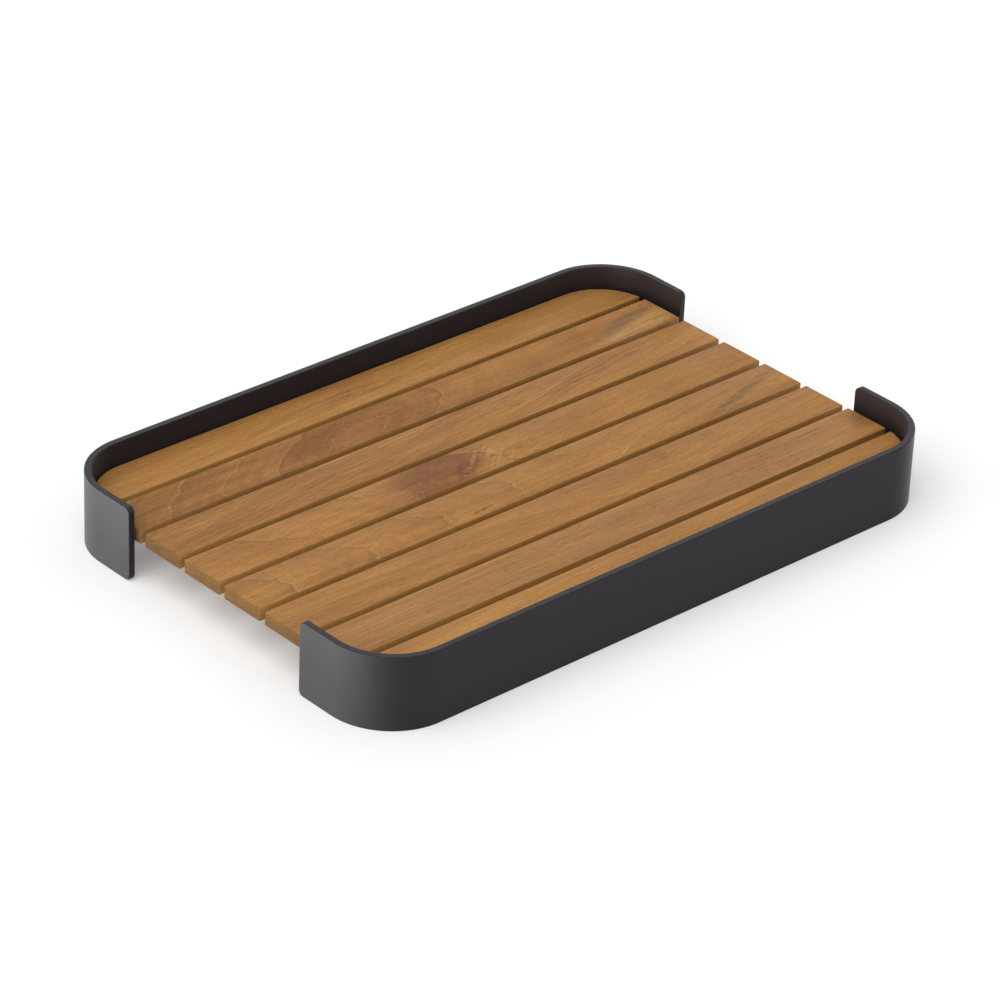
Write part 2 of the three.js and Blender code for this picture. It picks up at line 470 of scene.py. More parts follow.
# %% [markdown]
# ## Oiled teak: fibres and pores
# Over the layers lie the fibres: broad bands, streaks far longer than wide, fine fibres, and short dashes.
# Pores cut open show as dark ticks, and boards with upright layers have thin pale threads. All of them drift
# a little, and they may run at a slant to the board. Each is a noise with a length and a width in millimetres.

# %% Fibres and pores
FIBRES = {
    "dash": ((5, 1.2, 1.2), 0.6),
    "fibre": ((42, 1.1, 1.1), 0.6),
    "streak": ((75, 2.6, 2.6), 0.5),
    "band": ((150, 8, 8), 0.5),
}
SPOTS = {
    "pores": ((9, 0.8, 0.8), 0.07, 0.20),
    "threads": ((70, 1.3, 1.3), 0.08, 0.24),
    "flecks": ((34, 0.9, 0.9), 0.08, 0.17),
}
STROKES = ((34, 3.6, 3.6), -0.06, 0.22)
FIBRE_DETAIL = 2.0
SPOT_DETAIL = 1.0
STROKE_TURN = math.radians(38)
THREAD_BANDS = (-0.12, 0.12)
THREAD_LEAN = (0.03, 0.2)
MOTTLE_SIZE = (8, 5, 5)
DRIFT_SIZE = (170, 60, 60)
DRIFT_REACH = 12


def wood_grain(tree, u, v, y, z):
    """The grain's patterns, by name. Fibres and mottle swing about zero, spots go from 0 to 1."""
    slant = attribute(tree, "grain_slant")[0]
    upright = attribute(tree, "layer_lean")[1]
    drift = cloud((u, y, z), DRIFT_SIZE, 0.0) * DRIFT_REACH
    place = (u, y + drift - slant * u, z)
    grain = {name: cloud(place, size, FIBRE_DETAIL, roughness) for name, (size, roughness) in FIBRES.items()}
    for name, (size, low, high) in SPOTS.items():
        grain[name] = spots(place, size, low, high, SPOT_DETAIL)
    grain["threads"] *= ramp(grain["band"], *THREAD_BANDS) * ramp(upright, *THREAD_LEAN)
    stroke_along, stroke_across = turned_place(u, v, STROKE_TURN)
    grain["strokes"] = spots((stroke_along, stroke_across, z), *STROKES, SPOT_DETAIL)
    grain["mottle"] = cloud((u, y, z), MOTTLE_SIZE)
    return grain


print("grain patterns:", ", ".join((*FIBRES, *SPOTS)))

# %% [markdown]
# ## Oiled teak: colours and shares
# The colours are written as they look in daylight, each with the share that its pattern has in the wood. Late
# wood and seams lie under the marks. Pores, threads and veins lie over them. Sawn ends drink more oil, so they
# are greyer and rougher, and the long sides are a little paler. Written as lists, the shares can be changed
# without touching the nodes.

# %% Colours and shares
GOLD = paint(173, 123, 64)
ROSE = paint(149, 100, 58)
LATE = paint(128, 82, 46)
SEAM = paint(98, 64, 40)
PALE = paint(206, 166, 110)
PORE = paint(104, 70, 40)
SAWN = paint(124, 102, 76)
SIDE = paint(180, 140, 78)
UNDER_MARKS = {"late": (0.17, LATE), "seam": (0.24, SEAM)}
OVER_MARKS = {"pores": (0.30, PORE), "threads": (0.34, PALE), "vein": (0.42, PALE),
              "oiled_end": (1.0, SAWN), "sawn_side": (0.38, SIDE)}
SAWN_FACING = (0.6, 0.95)
LIGHT_SHARES = {"dash": 0.56, "streak": 0.42, "band": 0.32, "figure": 0.42, "tone": -0.07}
ROUGH_SHARES = {"fibre": 0.25, "patches": 0.18, "pores": 0.12, "sawn_end": 0.35}
HEIGHT_SHARES = {"fibre": 0.4, "dash": 0.5, "pores": -0.7}


def add_shares(base, patterns, shares):
    """A base with some of the patterns added, each times its share."""
    return sum((patterns[name] * share for name, share in shares.items()), base)


def lay_on(colour, patterns, tones):
    """A colour with others laid over it, each where its pattern is and as strong as its share."""
    for name, (share, tone) in tones.items():
        colour = mix(patterns[name] * share, colour, tone)
    return colour


def sawn_faces(tree):
    """1 on the sawn ends and on the long sides of a board, each fading out over the eased edge."""
    normal = add_node(tree, "ShaderNodeNewGeometry")
    along, across, _ = Term(tree, normal.outputs["Normal"]).split()
    return {"sawn_end": ramp(along.math("ABSOLUTE"), *SAWN_FACING),
            "sawn_side": ramp(across.math("ABSOLUTE"), *SAWN_FACING)}


print("lighter or darker by:", ", ".join(LIGHT_SHARES))

# %% [markdown]
# ## Oiled teak: the finish
# Now the parts come together. Golden and rosier wood blend first, then come the layers, the marks, the light
# and dark of the fibres, and what lies on top. The same patterns make the surface rougher and raise it a
# little, so that colour, sheen and relief agree. A picture of wood would be quicker, but it would stop at the
# edges.

# %% The teak finish
HUE_SIZE = (110, 24, 24)
HUE_REACH = 1.4
FIBRE_LIGHT = {"upright": 0.74, "flat": 0.44}
LIGHT_STEP = 100
OIL_ON_END = 0.36
OIL_ON_LATE_END = 0.12
TEAK_ROUGHNESS = 0.58
TEAK_PATCH = 60.0
TALLEST_FIBRE = 0.06 * MM


def oiled_teak():
    """The finish of all eight boards."""
    material, tree, shader = new_finish("oiled_teak", Specular_IOR_Level=0.25)
    x, y, z = place_in_mm(tree)
    phase, board_y, board_top = attribute(tree, "board_place")
    lightness, redness, lighter_right = attribute(tree, "board_tint")
    u, v, w = x, y - board_y, z - board_top
    growth = growth_depth(tree, u, v, w, y, z) * (1 / RING_SPACING) + phase
    wood = layer_lines(tree, u, v, y, z, growth) | wood_grain(tree, u, v, y, z) | sawn_faces(tree)
    wood["oiled_end"] = wood["sawn_end"] * (wood["late"] * OIL_ON_LATE_END + OIL_ON_END)
    wood["patches"] = use_group(tree, soft_patches, TEAK_PATCH)

    colour = mix(redness + cloud((u, y, z), HUE_SIZE) * HUE_REACH, GOLD, ROSE)
    colour = lay_on(colour, wood, UNDER_MARKS)
    for name, (tone, evenness, shares) in MARKS.items():
        texture = add_shares(evenness, wood, shares)
        colour = mix(soft_mark(tree, u, v, name, wood["mottle"]) * texture, colour, tone)
    flatness = attribute(tree, "layer_lean")[2]
    light = lightness + lighter_right * u * (1 / LIGHT_STEP) + 1.0
    light = light + wood["fibre"] * by_flatness(flatness, **FIBRE_LIGHT)
    colour = shade(colour, add_shares(light, wood, LIGHT_SHARES))
    plug(tree, lay_on(colour, wood, OVER_MARKS), shader.inputs["Base Color"])
    plug(tree, add_shares(TEAK_ROUGHNESS, wood, ROUGH_SHARES), shader.inputs["Roughness"])
    bump(tree, shader, add_shares(0.0, wood, HEIGHT_SHARES), TALLEST_FIBRE)
    return material


teak = oiled_teak()
print("finish:", teak.name, "with", len(teak.node_tree.nodes), "nodes")

# %% [markdown]
# ## Powder coat
# The bars are sprayed with charged powder and baked. The powder melts to a satin skin with a very fine
# pebble, a little thinner on the edges. A dark coat shows its surroundings more than its own colour, so its
# roughness decides how it looks: about half rough here, with soft patches. The edge mask is an attribute that
# the mesh brings along, so that the finish needs no guess about where an edge is.

# %% The powder coat
COAT = paint(32, 29, 33)
COAT_EDGE = paint(42, 40, 41)
COAT_PATCH = 45.0
COAT_PEBBLE = 0.9
COAT_GRAIN = 0.28
COAT_BUMP = 0.035 * MM
COAT_ROUGHNESS = 0.50


def powder_coat():
    """The finish of the rails, the cross bars and their welds."""
    material, tree, shader = new_finish("anthracite_coat", Specular_IOR_Level=0.22)
    patches = use_group(tree, soft_patches, COAT_PATCH)
    pebble = use_group(tree, fine_pebble, COAT_PEBBLE)
    grain = use_group(tree, fine_pebble, COAT_GRAIN)
    edge = add_node(tree, "ShaderNodeAttribute", attribute_name="edge_rub")
    worn = Term(tree, edge.outputs["Fac"])
    rub = worn * (patches * 0.8 + 0.6)
    colour = mix(rub, COAT, COAT_EDGE)
    plug(tree, shade(colour, patches * 0.22 + grain * 0.25 + 1.0), shader.inputs["Base Color"])
    rough = patches * 0.14 + grain * 0.10 + worn * 0.35 + COAT_ROUGHNESS
    plug(tree, rough, shader.inputs["Roughness"])
    bump(tree, shader, pebble + grain * 0.4, COAT_BUMP)
    return material


coat = powder_coat()
print("finish:", coat.name)

# %% [markdown]
# ## Screw steel
# The screws are plain stainless steel, tumbled to a satin sheen. It is the one bare metal here, so Metallic is
# set to 1, and the colour is that of its reflections: brighter and duller patches, with a very fine grain.

# %% The screw steel
STEEL = paint(168, 165, 160)
STEEL_DULL = paint(128, 125, 121)
STEEL_PATCH = 3.0
STEEL_GRAIN = 0.2
STEEL_BUMP = 0.01 * MM
STEEL_ROUGHNESS = 0.36


def screw_steel():
    """The finish of the screws."""
    material, tree, shader = new_finish("screw_steel", Metallic=1.0)
    patches = use_group(tree, soft_patches, STEEL_PATCH)
    grain = use_group(tree, fine_pebble, STEEL_GRAIN)
    plug(tree, mix(patches + 0.5, STEEL_DULL, STEEL), shader.inputs["Base Color"])
    plug(tree, patches * 0.25 + grain * 0.15 + STEEL_ROUGHNESS, shader.inputs["Roughness"])
    bump(tree, shader, grain, STEEL_BUMP)
    return material


steel = screw_steel()
print("finish:", steel.name)

# %% [markdown]
# ## From nodes to pieces: recipes
# A Geometry Nodes tree is a recipe: it says how a piece is made, with sizes as inputs that can be changed.
# `new_recipe` starts one with named inputs and brings a call that closes it. `step` adds one node and plugs in
# what it needs, and `apply_recipe` hangs the recipe on an object and sets its inputs by their identifiers.

# %% Recipes
def new_recipe(name, inputs):
    """A Geometry Nodes tree, with its inputs as terms by name, and a call that closes it."""
    tree = bpy.data.node_groups.new(name, "GeometryNodeTree")
    tree.interface.new_socket("Geometry", in_out="INPUT", socket_type="NodeSocketGeometry")
    for label, kind in inputs.items():
        tree.interface.new_socket(label, in_out="INPUT", socket_type="NodeSocket" + kind)
    tree.interface.new_socket("Geometry", in_out="OUTPUT", socket_type="NodeSocketGeometry")
    entry = add_node(tree, "NodeGroupInput")
    terms = {socket.name: Term(tree, socket) for socket in entry.outputs if socket.name}

    def close(geometry):
        realize = add_node(tree, "GeometryNodeRealizeInstances")
        finish = add_node(tree, "GeometryNodeSetMaterial")
        leave = add_node(tree, "NodeGroupOutput")
        plug(tree, geometry, realize.inputs["Geometry"])
        tree.links.new(realize.outputs["Geometry"], finish.inputs["Geometry"])
        plug(tree, terms["Finish"], finish.inputs["Material"])
        tree.links.new(finish.outputs["Geometry"], leave.inputs["Geometry"])
        return tree

    return tree, terms, close


def step(tree, kind, settings=None, output=0, **inputs):
    """Adds a geometry node, plugs its inputs by name and returns one output as a term."""
    made = add_node(tree, kind, **(settings or {}))
    for name, value in inputs.items():
        plug(tree, value, made.inputs[name.replace("_", " ")])
    return Term(tree, made.outputs[output])


def apply_recipe(piece, tree, values):
    """Hangs a recipe on a piece, with a value for each named input."""
    modifier = piece.modifiers.new(tree.name, "NODES")
    modifier.node_group = tree
    sockets = {item.name: item.identifier for item in tree.interface.items_tree if item.in_out == "INPUT"}
    for name, value in values.items():
        modifier[sockets[name]] = value


print("recipes end with instances made real and a finish set")

# %% [markdown]
# ## From nodes to pieces: plain meshes
# A recipe and its modifiers live in Blender only, so the tray is handed over as ordinary meshes. `plain` keeps
# what the modifiers made and takes them off. `ease_edges` rounds edges with a Bevel modifier, because no real
# edge is quite sharp. `hand_over` tells the frame which body a piece rides on and hides the nodes of the frame
# that it stands for.

# %% Pieces
SHARP_ANGLE = math.radians(35)


def new_piece(name, mesh=None):
    """Puts a piece into the scene, empty or with a mesh."""
    piece = bpy.data.objects.new(name, mesh or bpy.data.meshes.new(name))
    bpy.context.scene.collection.objects.link(piece)
    return piece


def plain(piece):
    """Keeps what the modifiers made as the piece's own mesh and removes them."""
    state = bpy.context.evaluated_depsgraph_get()
    finished = piece.evaluated_get(state)
    mesh = bpy.data.meshes.new_from_object(finished, preserve_all_data_layers=True, depsgraph=state)
    piece.modifiers.clear()
    piece.data = mesh
    mesh.name = piece.name
    return piece


def ease_edges(piece, width, steps, angle, harden=False):
    """Rounds every edge that turns by more than an angle."""
    ease = piece.modifiers.new("eased edges", "BEVEL")
    ease.width = width
    ease.segments = steps
    ease.limit_method = "ANGLE"
    ease.angle_limit = angle
    ease.harden_normals = harden


def smooth(mesh):
    """Shades all faces as one smooth surface."""
    for face in mesh.polygons:
        face.use_smooth = True


def hand_over(piece, slot, *nodes):
    """Tells the frame what a piece rides on and hides the nodes it stands for. The slot is not used."""
    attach(piece, "root")
    if nodes:
        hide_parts(*nodes)
    print(f"{piece.name}: {len(piece.data.polygons)} faces, stands for {len(nodes)} nodes")


print(f"edges over {math.degrees(SHARP_ANGLE):.0f} degrees stay sharp")

# %% [markdown]
# ## The rails: marking out a flat bar
# A real rail starts as a straight flat bar on edge. Its end corners are rounded, its edges are eased, and a
# press bends it twice. The script does the same. First it marks upright stations along the bar: close
# together in the rounded corners and where it will be bent, far apart where it stays straight. A bar made of
# even steps would need many more faces for the same round bend.

# %% Mark out the flat bar
BEND_STEPS = 28
CORNER_STEPS = 7

middle_radius = RAIL_BEND_RADIUS - RAIL_THICKNESS / 2
half_straight = rail_high.x - RAIL_BEND_RADIUS
bend_length = middle_radius * math.pi / 2
return_length = rail_high.y - RAIL_BEND_RADIUS - rail_low.y
half_length = half_straight + bend_length + return_length


def quarter_turn(steps):
    """Angles from zero to a right angle."""
    return [math.pi / 2 * count / steps for count in range(steps + 1)]


def bar_stations():
    """Places along the flat bar, from its middle to its ends and mirrored."""
    bends = [half_straight + bend_length * count / BEND_STEPS for count in range(BEND_STEPS + 1)]
    corner = [half_length - RAIL_END_CORNER * (1 - math.sin(angle)) for angle in quarter_turn(CORNER_STEPS)]
    right = bends + corner
    return [-place for place in reversed(right)] + right


def edge_point(place, top):
    """The outline's height at a station, and the way out of the bar there."""
    left_over = half_length - abs(place)
    sine = max(0.0, 1 - left_over / RAIL_END_CORNER)
    cosine = math.sqrt(max(0.0, 1 - sine * sine))
    height = RAIL_END_CORNER * (1 - cosine)
    outward = Vector((math.copysign(sine, place), 0, cosine if top else -cosine))
    return Vector((place, 0, RAIL_HEIGHT - height if top else height)), outward


print(f"flat bar {2 * half_length / MM:.1f} mm long before bending, {len(bar_stations())} stations")

# %% [markdown]
# ## The rails: cutting the bar
# The bar's outline is drawn as a ring of points, again and again from one broad face to the other. The rings
# step outwards and inwards again, which eases the edge, and a band of faces joins each ring to the next. A
# Bevel modifier could do it too, but here the points on the eased edge are known and can be marked as rubbed:
# that is where the coat is thinner. Strips of faces close the two broad sides.

# %% Cut the flat bar
EASE_STEPS = 3


def join_rings(body, rings):
    """Joins each ring of points to the next with a band of faces."""
    count = len(rings[0])
    for first, second in zip(rings, rings[1:]):
        for here in range(count):
            after = (here + 1) % count
            body.faces.new((first[here], first[after], second[after], second[here]))


def keep_mesh(body, name):
    """Turns a body's faces outwards and keeps it as a mesh."""
    bmesh.ops.recalc_face_normals(body, faces=body.faces)
    mesh = bpy.data.meshes.new(name)
    body.to_mesh(mesh)
    body.free()
    return mesh


def flat_bar():
    """The straight bar with eased edges. Its face lies along X and Z, its thickness along Y."""
    stations = bar_stations()
    outline = [edge_point(place, False) for place in stations]
    outline += [edge_point(place, True) for place in reversed(stations)]
    easing = [(RAIL_EDGE_EASE * (1 - math.sin(angle)),
               RAIL_THICKNESS / 2 - RAIL_EDGE_EASE * (1 - math.cos(angle)))
              for angle in quarter_turn(EASE_STEPS)]
    easing += [(inset, -depth) for inset, depth in reversed(easing)]
    bar = bmesh.new()
    rub = bar.verts.layers.float.new("edge_rub")
    rings = []
    for inset, depth in easing:
        ring = [bar.verts.new(point - outward * inset + Vector((0, depth, 0))) for point, outward in outline]
        for vertex in ring:
            vertex[rub] = float(0 < inset < RAIL_EDGE_EASE)
        rings.append(ring)
    join_rings(bar, rings)
    for ring in (rings[0], rings[-1]):
        for here in range(len(stations) - 1):
            bar.faces.new((ring[here], ring[here + 1], ring[-2 - here], ring[-1 - here]))
    mesh = keep_mesh(bar, "flat_bar")
    smooth(mesh)
    return mesh


print(f"edges eased by {RAIL_EDGE_EASE / MM:.1f} mm in {EASE_STEPS} steps")

# %% [markdown]
# ## The rails: bending by a rule
# The bend is a rule for every point: as far as the straight goes, stay; then turn about the bend's centre;
# then carry on along the return. A Set Position node with that rule bends the whole bar at once. It could be
# a curve modifier too, but the rule is exact, and the radius is an input that can be changed. The front rail
# is the back one turned half round. Weighted normals keep the broad faces flat up to the eased edges.

# %% Bend the rails
def bending_recipe():
    """A recipe that bends a straight bar round two corners."""
    tree, inputs, close = new_recipe("press_bend", {
        "Half Straight": "Float", "Bend Radius": "Float", "Middle Line": "Float", "Half Turn": "Float",
        "Finish": "Material"})
    x, out, z = step(tree, "GeometryNodeInputPosition").split()
    radius = inputs["Bend Radius"]
    straight = inputs["Half Straight"]
    reach = x.math("ABSOLUTE")
    past = reach - straight
    turn = (past / radius).math("MAXIMUM", 0.0).math("MINIMUM", math.pi / 2)
    beyond = (past - radius * (math.pi / 2)).math("MAXIMUM", 0.0)
    along = reach.math("MINIMUM", straight) + (radius + out) * turn.math("SINE")
    across = inputs["Middle Line"] - radius + (radius + out) * turn.math("COSINE") - beyond
    facing = inputs["Half Turn"]
    place = vector(tree, x.math("SIGN") * along * facing, across * facing, z)
    bent = step(tree, "GeometryNodeSetPosition", Geometry=inputs["Geometry"], Position=place)
    return close(bent)


press_bend = bending_recipe()
for node, facing in (("rail_back", 1.0), ("rail_front", -1.0)):
    rail = new_piece("bent_" + node, flat_bar())
    apply_recipe(rail, press_bend, {
        "Half Straight": half_straight, "Bend Radius": middle_radius,
        "Middle Line": rail_high.y - RAIL_THICKNESS / 2, "Half Turn": facing, "Finish": coat})
    weighted = rail.modifiers.new("flat faces", "WEIGHTED_NORMAL")
    weighted.keep_sharp = False
    hand_over(plain(rail), "rail_coat", node)

# %% [markdown]
# ## The slats: strips of one deck
# The slats are one rounded deck cut into strips, so the outer two keep the deck's round corners and the gaps
# are all alike. The recipe says just that: a rounded plate and a strip, and what both have in common. One
# recipe makes all eight, each from its own place.

# %% Cut the slats
CUT_MARGIN = 10 * MM
DECK_ARC_STEPS = 24
deck_size = Vector((deck_high.x - deck_low.x, 2 * deck_high.y, deck_high.z - deck_low.z))
deck_middle = (deck_high.z + deck_low.z) / 2


def slat_recipe():
    """A recipe for one strip of the rounded deck."""
    tree, inputs, close = new_recipe("strip_of_deck", {
        "Deck Length": "Float", "Deck Width": "Float", "Deck Corner": "Float", "Thickness": "Float",
        "Slat Width": "Float", "Slat Middle": "Float", "Height": "Float", "Finish": "Material"})
    corners = step(tree, "GeometryNodeCurvePrimitiveQuadrilateral",
                   Width=inputs["Deck Length"], Height=inputs["Deck Width"])
    outline = step(tree, "GeometryNodeFilletCurve", {"mode": "POLY"}, Curve=corners,
                   Radius=inputs["Deck Corner"], Count=DECK_ARC_STEPS)
    face = step(tree, "GeometryNodeFillCurve", {"mode": "NGONS"}, Curve=outline)
    lifted = step(tree, "GeometryNodeExtrudeMesh", Mesh=face, Offset_Scale=inputs["Thickness"])
    under = step(tree, "GeometryNodeFlipFaces", Mesh=face)
    both = add_node(tree, "GeometryNodeJoinGeometry")
    plug(tree, lifted, both.inputs[0])
    plug(tree, under, both.inputs[0])
    plate = step(tree, "GeometryNodeMergeByDistance", Geometry=Term(tree, both.outputs[0]))
    sunk = vector(tree, 0.0, 0.0, inputs["Height"] - inputs["Thickness"] * 0.5)
    plate = step(tree, "GeometryNodeTransform", Geometry=plate, Translation=sunk)
    block = vector(tree, inputs["Deck Length"] + CUT_MARGIN, inputs["Slat Width"],
                   inputs["Thickness"] + CUT_MARGIN)
    strip = step(tree, "GeometryNodeMeshCube", Size=block)
    strip = step(tree, "GeometryNodeTransform", Geometry=strip,
                 Translation=vector(tree, 0.0, inputs["Slat Middle"], inputs["Height"]))
    common = add_node(tree, "GeometryNodeMeshBoolean", operation="INTERSECT", solver="EXACT")
    plug(tree, plate, common.inputs["Mesh 2"])
    plug(tree, strip, common.inputs["Mesh 2"])
    return close(Term(tree, common.outputs["Mesh"]))


strip_of_deck = slat_recipe()
print("slat recipe:", len(strip_of_deck.nodes), "nodes")

# %% [markdown]
# ## The slats: what each board carries
# Every board was sawn somewhere else in the trunk. The list gives each one its growth: how its layers lean
# along, across and through it, where they rise to an eye and how steeply, and its tint. Lengths are in
# millimetres from the board's own middle. A lean of 1 across means layers standing upright, which gives
# straight grain. A lean of 1 through means layers lying flat, which gives arches and eyes. A mark is a middle
# and strength, then its reach along, its reach across and its turn. The seed draws the chance tone of each
# layer. Painting the boards one by one would be another way, but then a change would mean painting again.

# %% Describe the boards
NOWHERE = (0.0, 0.0, 0.0)
UPRIGHT = (0.03, 1.0, 0.3)
FLAT = (0.0, 0.03, 1.0)
FAR_OFF = 1000.0
NO_MARK = (0, 0, 0, 1, 1, 0)


def board(lean, tint, first_eye=NOWHERE, second_eye=NOWHERE, eye_shape=(1.0, 0.0, FAR_OFF),
          slant=0.0, phase=0.0, last_vein=FAR_OFF, seed=0.0, **marks):
    """Eyes are along, across, steepness. Their shape is stretch, tilt, how much deeper the second one lies.
    Tint is lightness, redness and how much lighter it gets with each 100 mm to the right. Slant is how far
    the fibres stray across for each step along, phase shifts the layers, and veins stop at last_vein."""
    carried = dict(layer_lean=lean, board_tint=tint, first_eye=first_eye, second_eye=second_eye,
                   eye_shape=eye_shape, grain_slant=(slant, last_vein, seed), phase=phase)
    for name in MARKS:
        mark = marks.get(name, NO_MARK)
        carried[name] = mark[:3]
        carried[name + "_shape"] = mark[3:]
    return carried


BOARDS = {
    "slat_1": board((-0.03, 1.0, 0.2), (-0.01, 0.05, -0.01), slant=0.03, seed=20,
                    dark_flecks=(0, -3, 0.8, 50, 8, 0.0)),
    "slat_2": board(FLAT, (-0.11, 0.5, 0.04), first_eye=(-47, -2, 0.083), phase=0.48, last_vein=75,
                    seed=330, eye_shape=(2.3, 0.2, FAR_OFF),
                    red_stain=(-66, -2, 0.47, 80, 27, 0.0), amber_patch=(211, 8, 0.6, 22, 6, 0.0),
                    grey_smudge=(250, 3, 0.6, 50, 8.5, 0.26), dark_flecks=(20, 8, 0.9, 22, 6, 0.0),
                    pale_patch=(255, -11, 0.75, 48, 9, 0.12)),
    "slat_3": board((-0.055, 0.25, 1.0), (-0.06, 0.3, 0.05), slant=0.05, phase=0.3, seed=165,
                    dark_flecks=(130, 3, 0.85, 95, 13, 0.0),
                    red_stain=(-165, -7, 0.24, 120, 15, -0.04)),
    "slat_4": board(FLAT, (-0.05, 0.25, 0.0), first_eye=(-330, -20, 0.05), second_eye=(33, -7, 0.55),
                    phase=0.67, eye_shape=(2.4, 0.0, 6.0), slant=0.07, last_vein=75, seed=768,
                    red_stain=(-52, 0, 0.78, 78, 30, 0.5), dark_heart=(-25, -7, 0.6, 24, 8, 0.6),
                    amber_patch=(33, -7, 0.5, 7, 4, 0.0), pale_strokes=(4, -2, 0.36, 30, 18, 0.5),
                    pale_patch=(8, -8, 0.1, 24, 9, 0.4)),
    "slat_5": board((0.0, 0.02, 1.0), (-0.045, 0.15, 0.01), first_eye=(-400, -5, 0.066), slant=0.06,
                    second_eye=(280, -60, 0.066), eye_shape=(3.2, 0.0, 10.0), seed=162,
                    grey_smudge=(238, -4, 0.58, 58, 4.6, 0.27), dark_heart=(-60, -15, 0.8, 10, 2, 0.1),
                    dark_flecks=(-255, -19, 0.9, 36, 4, 0.0)),
    "slat_6": board((0.0, 0.02, 1.0), (-0.02, 0.3, 0.015), first_eye=(-330, -40, 0.075), slant=-0.02,
                    second_eye=(400, -40, 0.075), eye_shape=(6.0, 0.0, 9.0), seed=206,
                    red_stain=(113, 10, 0.4, 7, 8, 0.0)),
    # Slat 7's grey smudge at its right end is painted shade, where the rail's return shades the board.
    "slat_7": board(UPRIGHT, (0.0, 0.25, 0.01), slant=-0.01, seed=50,
                    dark_flecks=(160, 6, 0.8, 65, 11, 0.0), grey_smudge=(286, 0, 0.45, 12, 10, 0.0),
                    dark_heart=(234, 12, 0.75, 21, 1.0, 0.02)),
    "slat_8": board((-0.04, 1.0, 0.3), (-0.01, 0.1, -0.03), slant=0.04, seed=70),
}
print("boards described:", len(BOARDS))

# %% [markdown]
# ## The slats: making them
# Each slat is cut by the recipe, and its edges are eased as a router would do it. Then it is made plain, and
# given its numbers as attributes of its mesh, which the finish reads. So one material serves all eight boards,
# where eight materials would have to be kept alike by hand.

# %% Make the boards
SLAT_EASE_ANGLE = math.radians(40)
SLAT_EASE_STEPS = 4


def carry(mesh, name, value):
    """Writes one set of three numbers on every point of a board."""
    layer = mesh.attributes.new(name, "FLOAT_VECTOR", "POINT")
    layer.data.foreach_set("vector", list(value) * len(mesh.vertices))


for node in SLAT_NAMES:
    low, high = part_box(node)
    middle = (high.y + low.y) / 2
    slat = new_piece("teak_" + node)
    apply_recipe(slat, strip_of_deck, {
        "Deck Length": deck_size.x, "Deck Width": deck_size.y, "Deck Corner": DECK_CORNER,
        "Thickness": deck_size.z, "Slat Width": high.y - low.y, "Slat Middle": middle,
        "Height": deck_middle, "Finish": teak})
    ease_edges(slat, SLAT_EDGE_EASE, SLAT_EASE_STEPS, SLAT_EASE_ANGLE, harden=True)
    plain(slat)
    smooth(slat.data)
    growth = dict(BOARDS[node])
    carry(slat.data, "board_place", (growth.pop("phase"), middle / MM, high.z / MM))
    for name, value in growth.items():
        carry(slat.data, name, value)
    hand_over(slat, "slat_wood", node)

# %% [markdown]
# ## Under the deck: cross bars
# Three flat bars tie the two rails together and carry the slats. Each is drilled once for every slat, and the
# holes are countersunk from below, so that the screw heads stay clear of a table or a hand. The recipe is a
# block, a row of drills and a row of countersinks, taken away one after the other. Changing the pitch or the
# count moves every hole.

# %% Describe a drilled bar
DRILL_SIDES = 32
DRILL_MARGIN = 1 * MM


def row_of_points(tree, inputs):
    """A line of points along Y, evenly spaced about the middle."""
    first = (inputs["Count"] - 1.0) * inputs["Pitch"] * -0.5
    return step(tree, "GeometryNodeMeshLine", {"mode": "OFFSET"}, Count=inputs["Count"],
                Start_Location=vector(tree, 0.0, first, 0.0), Offset=vector(tree, 0.0, inputs["Pitch"], 0.0))


def take_away(tree, solid, row, tool):
    """The solid less one tool at each point of the row."""
    tools = step(tree, "GeometryNodeInstanceOnPoints", Points=row, Instance=tool)
    tools = step(tree, "GeometryNodeRealizeInstances", Geometry=tools)
    cut = add_node(tree, "GeometryNodeMeshBoolean", operation="DIFFERENCE", solver="EXACT")
    plug(tree, solid, cut.inputs["Mesh 1"])
    plug(tree, tools, cut.inputs["Mesh 2"])
    return Term(tree, cut.outputs["Mesh"])


def drilled_bar_recipe():
    """A recipe for a flat bar with a row of countersunk holes."""
    tree, inputs, close = new_recipe("drilled_bar", {
        "Width": "Float", "Length": "Float", "Thickness": "Float", "Middle": "Vector", "Count": "Int",
        "Pitch": "Float", "Hole Radius": "Float", "Sink Radius": "Float", "Finish": "Material"})
    under = inputs["Thickness"] * -0.5 - DRILL_MARGIN
    bar = step(tree, "GeometryNodeMeshCube",
               Size=vector(tree, inputs["Width"], inputs["Length"], inputs["Thickness"]))
    drill = step(tree, "GeometryNodeMeshCylinder", Vertices=DRILL_SIDES, Radius=inputs["Hole Radius"],
                 Depth=inputs["Thickness"] + DRILL_MARGIN * 2)
    sink = step(tree, "GeometryNodeMeshCone", Vertices=DRILL_SIDES, Radius_Top=inputs["Hole Radius"],
                Radius_Bottom=inputs["Sink Radius"] + DRILL_MARGIN,
                Depth=inputs["Sink Radius"] - inputs["Hole Radius"] + DRILL_MARGIN)
    sink = step(tree, "GeometryNodeTransform", Geometry=sink, Translation=vector(tree, 0.0, 0.0, under))
    row = row_of_points(tree, inputs)
    bar = take_away(tree, bar, row, drill)
    bar = take_away(tree, bar, row, sink)
    return close(step(tree, "GeometryNodeTransform", Geometry=bar, Translation=inputs["Middle"]))


drilled_bar = drilled_bar_recipe()
print("cross bar recipe:", len(drilled_bar.nodes), "nodes")

# %% [markdown]
# ## Under the deck: drilling three bars
# All three bars come from the one recipe. Their sizes are read off the frame, and the pitch is the way from one
# screw to the next. The edges are eased before coating, as powder won't hold on a sharp one. A Bevel modifier
# does that for all edges at once, and its angle leaves out the shallow edges round each hole.

